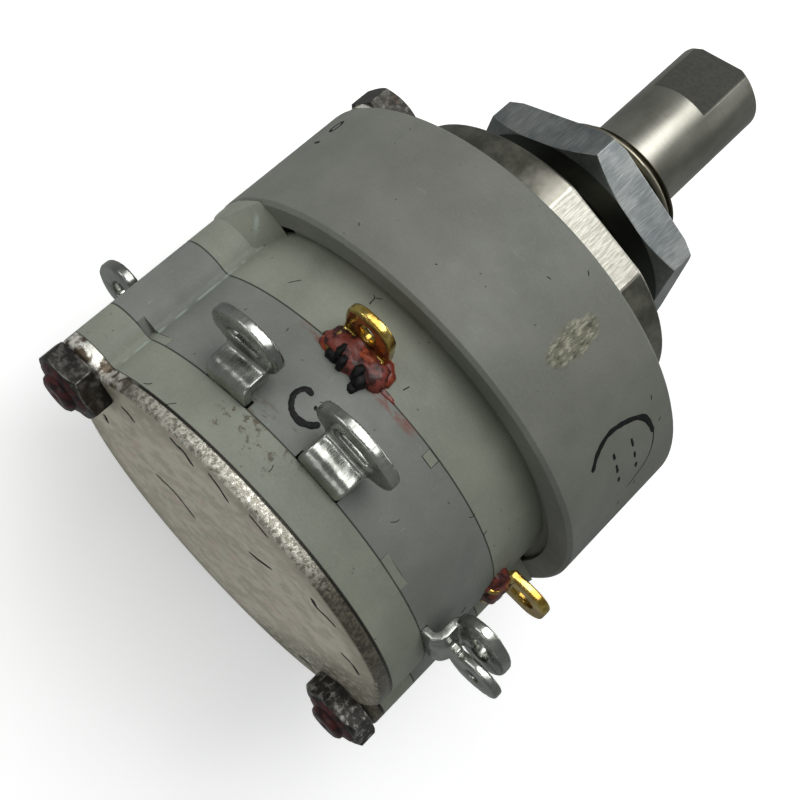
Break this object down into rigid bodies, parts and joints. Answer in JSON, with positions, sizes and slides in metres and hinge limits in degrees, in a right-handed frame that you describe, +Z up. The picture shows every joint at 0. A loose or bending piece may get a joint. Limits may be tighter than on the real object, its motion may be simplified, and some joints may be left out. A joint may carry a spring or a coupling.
{
  "type": "rotary selector switch",
  "caption": "Miniature enclosed rotary selector switch: flatted shaft in a threaded panel bushing, detent housing, stacked contact decks with solder terminals, and a bolted rear plate.",
  "frame": {"origin": "centre of the flange face that seats on the panel", "axes": "-Y out along the shaft, +Y towards the rear plate, X through the two tie bolts, +Z up"},
  "size_m": [0.0293, 0.0456, 0.0292],
  "materials": {
    "housing_plastic": "warm grey moulded, matte, fine specks and faint scuffs",
    "cream_plastic": "cream-grey moulded, matte to satin",
    "grey_plastic": "cool grey moulded, matte",
    "plate_metal": "tarnished nickel plate, bright scratched rim",
    "bushing_metal": "nickel plated, turned, slightly brown in the thread",
    "shaft_metal": "satin stainless steel, turned",
    "nut_metal": "bluish nickel plate, brushed",
    "blackened_steel": "blackened, worn bright at the edges",
    "tinned_brass": "uneven bright tin",
    "gold_plate": "bright gold plate",
    "contact_copper": "silvered copper alloy",
    "spring_steel": "spring wire and polished balls",
    "inner_plastic": "dark moulded plastic"
  },
  "bodies": {
    "frame": {"bushing": "bushing_metal", "detent_housing": "housing_plastic", "detent_cover": "housing_plastic", "ball_carrier": "inner_plastic", "detent_spring_upper": "spring_steel", "detent_spring_lower": "spring_steel", "thrust_washer": "contact_copper", "front_deck": "cream_plastic", "middle_deck": "grey_plastic", "rear_deck": "cream_plastic", "rear_plate": "plate_metal", "tie_bolts": "blackened_steel", "tie_washers": "plate_metal", "tie_nuts": "blackened_steel", "gold_terminal_contact": "gold_plate", "gold_terminal_common": "gold_plate", "solder_lug_1": "tinned_brass", "solder_lug_2": "tinned_brass", "solder_lug_3": "tinned_brass", "solder_lug_4": "tinned_brass"},
    "rotor": {"shaft": "shaft_metal", "detent_wheel": "spring_steel", "retaining_ring": "spring_steel", "front_spacer": "inner_plastic", "middle_spacer": "inner_plastic", "front_rotor_disc": "inner_plastic", "rear_rotor_disc": "inner_plastic", "front_wiper": "contact_copper", "rear_wiper": "contact_copper", "front_wiper_rivets": "contact_copper", "rear_wiper_rivets": "contact_copper"},
    "nut": {"panel_nut": "nut_metal"},
    "ball_upper": {"detent_ball_upper": "spring_steel"},
    "ball_lower": {"detent_ball_lower": "spring_steel"}
  },
  "joints": [
    {"name": "shaft_turn", "type": "hinge", "parent": "frame", "child": "rotor", "pos_m": [0, 0, 0], "axis": [0, -1, 0], "continuous": true},
    {"name": "nut_travel", "type": "slide", "parent": "frame", "child": "nut", "axis": [0, 1, 0], "range_m": [-0.0026, 0.0028]},
    {"name": "ball_upper_slide", "type": "slide", "parent": "frame", "child": "ball_upper", "axis": [0, 0, 1], "range_m": [0, 0.00059], "stiffness_N_per_m": 800, "springref_m": -0.0008, "deforming": ["detent_spring_upper"]},
    {"name": "ball_lower_slide", "type": "slide", "parent": "frame", "child": "ball_lower", "axis": [0, 0, -1], "range_m": [0, 0.00059], "stiffness_N_per_m": 800, "springref_m": -0.0008, "deforming": ["detent_spring_lower"]}
  ]
}
